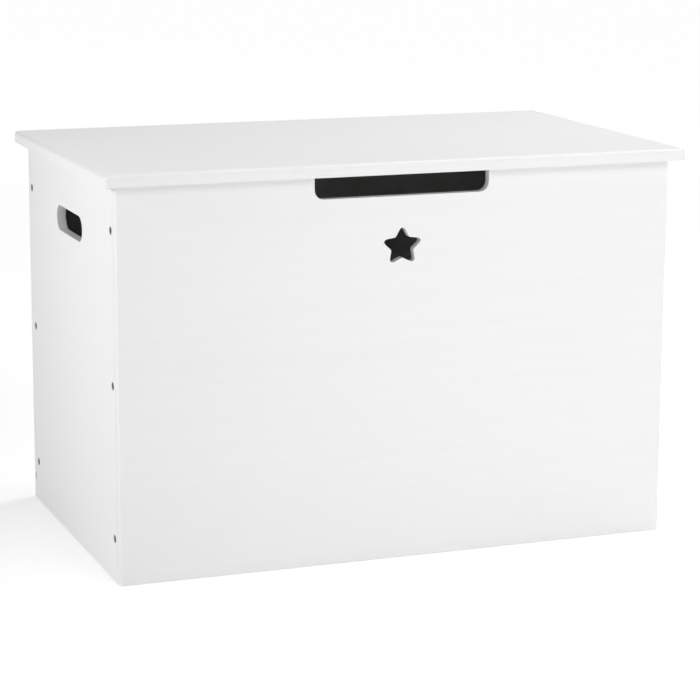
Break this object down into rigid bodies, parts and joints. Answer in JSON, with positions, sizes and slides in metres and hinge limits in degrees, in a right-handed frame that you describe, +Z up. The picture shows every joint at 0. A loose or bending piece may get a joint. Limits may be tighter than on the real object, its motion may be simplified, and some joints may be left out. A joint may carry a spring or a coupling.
{
  "type": "toy box",
  "caption": "White painted wooden toy box with a hinged overhanging lid, a finger slot and star cut-out in the front, and hand holes in the sides.",
  "frame": {"origin": "on the floor, under the middle of the closed box, with the hinge knuckles behind it counted in its depth", "axes": "+X to the right as one faces the front, +Y from the front to the back, +Z up"},
  "size_m": [0.6, 0.3642, 0.3965],
  "materials": {
    "white_paint": "satin white paint over smooth fibreboard",
    "pine": "planed pine, unpainted",
    "black_screw": "black phosphated steel, dull",
    "zinc": "bright zinc-plated pressed steel",
    "rubber": "matt pale rubber"
  },
  "bodies": {
    "case": {"front_panel": "white_paint", "back_panel": "white_paint", "left_side_panel": "white_paint", "right_side_panel": "white_paint", "floor_board": "white_paint", "front_left_batten": "pine", "front_right_batten": "pine", "back_left_batten": "pine", "back_right_batten": "pine", "hinge_rail": "pine", "left_screw_front_bottom": "black_screw", "left_screw_front_middle": "black_screw", "left_screw_front_top": "black_screw", "left_screw_back_bottom": "black_screw", "left_screw_back_middle": "black_screw", "left_screw_back_top": "black_screw", "right_screw_front_bottom": "black_screw", "right_screw_front_middle": "black_screw", "right_screw_front_top": "black_screw", "right_screw_back_bottom": "black_screw", "right_screw_back_middle": "black_screw", "right_screw_back_top": "black_screw", "left_hinge_case_leaf": "zinc", "left_hinge_pin": "zinc", "left_hinge_case_screw_left": "zinc", "left_hinge_case_screw_right": "zinc", "right_hinge_case_leaf": "zinc", "right_hinge_pin": "zinc", "right_hinge_case_screw_left": "zinc", "right_hinge_case_screw_right": "zinc", "left_stay_plate": "zinc", "left_stay_plate_screw_lower": "zinc", "left_stay_plate_screw_upper": "zinc", "right_stay_plate": "zinc", "right_stay_plate_screw_lower": "zinc", "right_stay_plate_screw_upper": "zinc"},
    "lid": {"lid_panel": "white_paint", "left_lid_bumper": "rubber", "right_lid_bumper": "rubber", "left_hinge_lid_leaf": "zinc", "left_hinge_lid_screw_left": "zinc", "left_hinge_lid_screw_right": "zinc", "right_hinge_lid_leaf": "zinc", "right_hinge_lid_screw_left": "zinc", "right_hinge_lid_screw_right": "zinc", "left_stay_bracket": "zinc", "left_stay_bracket_screw_front": "zinc", "left_stay_bracket_screw_back": "zinc", "right_stay_bracket": "zinc", "right_stay_bracket_screw_front": "zinc", "right_stay_bracket_screw_back": "zinc"},
    "left_lower_arm": {"left_stay_lower_arm": "zinc", "left_stay_elbow_rivet": "zinc"},
    "right_lower_arm": {"right_stay_lower_arm": "zinc", "right_stay_elbow_rivet": "zinc"},
    "left_upper_arm": {"left_stay_upper_arm": "zinc"},
    "right_upper_arm": {"right_stay_upper_arm": "zinc"}
  },
  "joints": [
    {"name": "lid_hinge", "type": "hinge", "parent": "case", "child": "lid", "pos_m": [0, 0.17905, 0.3812], "axis": [-1, 0, 0], "range_deg": [0, 85]},
    {"name": "left_stay_side_pivot", "type": "hinge", "parent": "case", "child": "left_lower_arm", "pos_m": [-0.27475, 0.13705, 0.3192], "axis": [-1, 0, 0], "range_deg": [0, 85]},
    {"name": "right_stay_side_pivot", "type": "hinge", "parent": "case", "child": "right_lower_arm", "pos_m": [0.27475, 0.13705, 0.3192], "axis": [-1, 0, 0], "range_deg": [0, 85]},
    {"name": "left_stay_lid_pivot", "type": "hinge", "parent": "lid", "child": "left_upper_arm", "pos_m": [-0.27275, 0.11905, 0.3712], "axis": [-1, 0, 0], "range_deg": [-85, 0]},
    {"name": "right_stay_lid_pivot", "type": "hinge", "parent": "lid", "child": "right_upper_arm", "pos_m": [0.27275, 0.11905, 0.3712], "axis": [-1, 0, 0], "range_deg": [-85, 0]}
  ],
  "couplings": [
    {"joint": "left_stay_side_pivot", "follows": "lid_hinge", "ratio": 1},
    {"joint": "right_stay_side_pivot", "follows": "lid_hinge", "ratio": 1},
    {"joint": "left_stay_lid_pivot", "follows": "lid_hinge", "ratio": -1},
    {"joint": "right_stay_lid_pivot", "follows": "lid_hinge", "ratio": -1}
  ]
}
